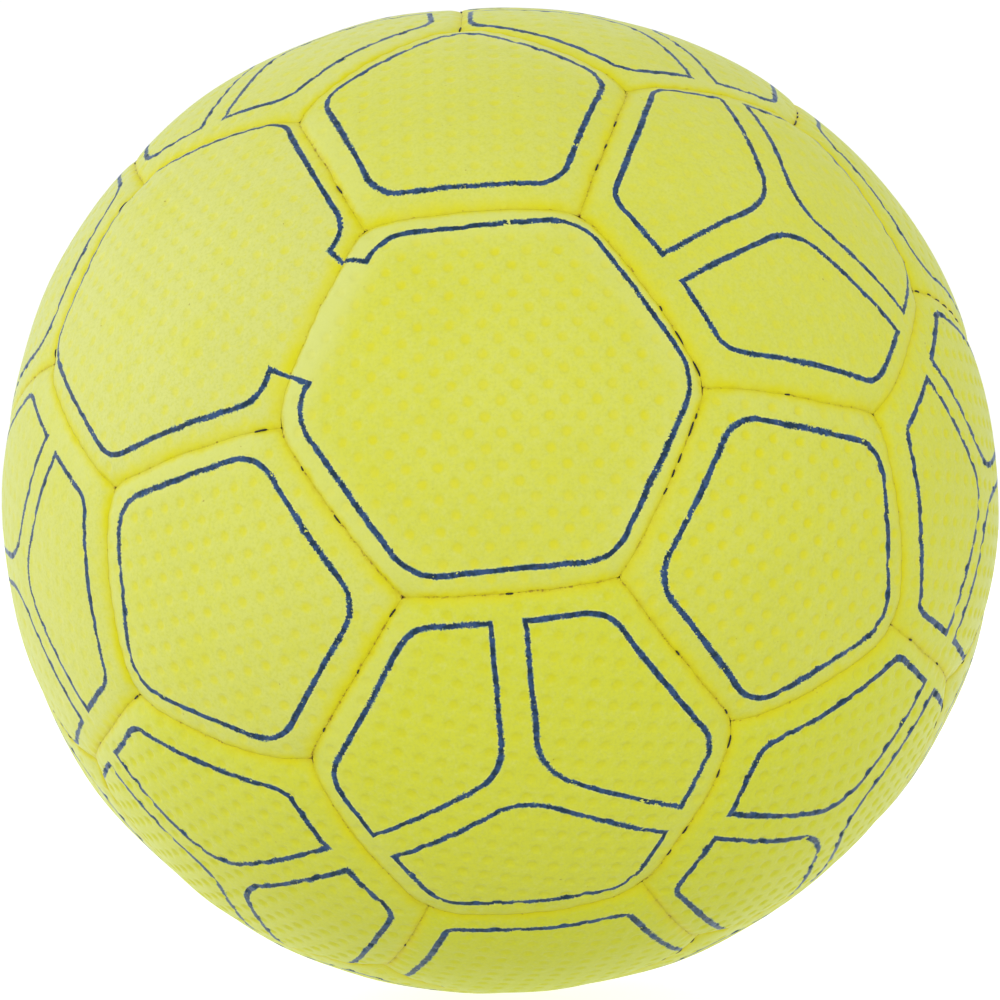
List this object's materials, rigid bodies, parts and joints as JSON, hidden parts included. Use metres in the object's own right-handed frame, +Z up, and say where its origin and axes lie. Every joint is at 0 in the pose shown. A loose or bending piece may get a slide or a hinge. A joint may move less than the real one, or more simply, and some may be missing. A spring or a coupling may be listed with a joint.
{
  "type": "handball",
  "caption": "Hand-stitched handball with a dimpled, pebbled cover of hexagonal and pentagonal panels round an air bladder, with an inflation valve.",
  "frame": {"origin": "centre of the ball", "axes": "+Z up, as the ball lies in its reference view; the printed front faces -Y and +X is to the right of a viewer in front; the valve is on the hexagon opposite the front one, towards +Y and a little below the middle"},
  "size_m": [0.1872, 0.1879, 0.1878],
  "materials": {
    "cover": "satin",
    "thread": "matte",
    "bladder_latex": "satin",
    "valve_rubber": "matte",
    "valve_plug_rubber": "satin",
    "lining_cloth": "matte"
  },
  "bodies": {
    "root": {"pentagon_panel_01": "cover", "pentagon_panel_02": "cover", "pentagon_panel_03": "cover", "pentagon_panel_04": "cover", "pentagon_panel_05": "cover", "pentagon_panel_06": "cover", "pentagon_panel_07": "cover", "pentagon_panel_08": "cover", "pentagon_panel_09": "cover", "pentagon_panel_10": "cover", "pentagon_panel_11": "cover", "pentagon_panel_12": "cover", "hexagon_panel_01": "cover", "hexagon_panel_02": "cover", "hexagon_panel_03": "cover", "hexagon_panel_04": "cover", "hexagon_panel_05": "cover", "hexagon_panel_06": "cover", "hexagon_panel_07": "cover", "hexagon_panel_08": "cover", "hexagon_panel_09": "cover", "hexagon_panel_10": "cover", "hexagon_panel_11": "cover", "hexagon_panel_12": "cover", "hexagon_panel_13": "cover", "hexagon_panel_14": "cover", "hexagon_panel_15": "cover", "hexagon_panel_16": "cover", "hexagon_panel_17": "cover", "hexagon_panel_18": "cover", "hexagon_panel_19": "cover", "valve_panel": "cover", "seam_thread": "thread", "bladder": "bladder_latex", "valve_boot": "valve_rubber", "valve_plug": "valve_plug_rubber", "valve_patch": "lining_cloth"}
  },
  "joints": []
}
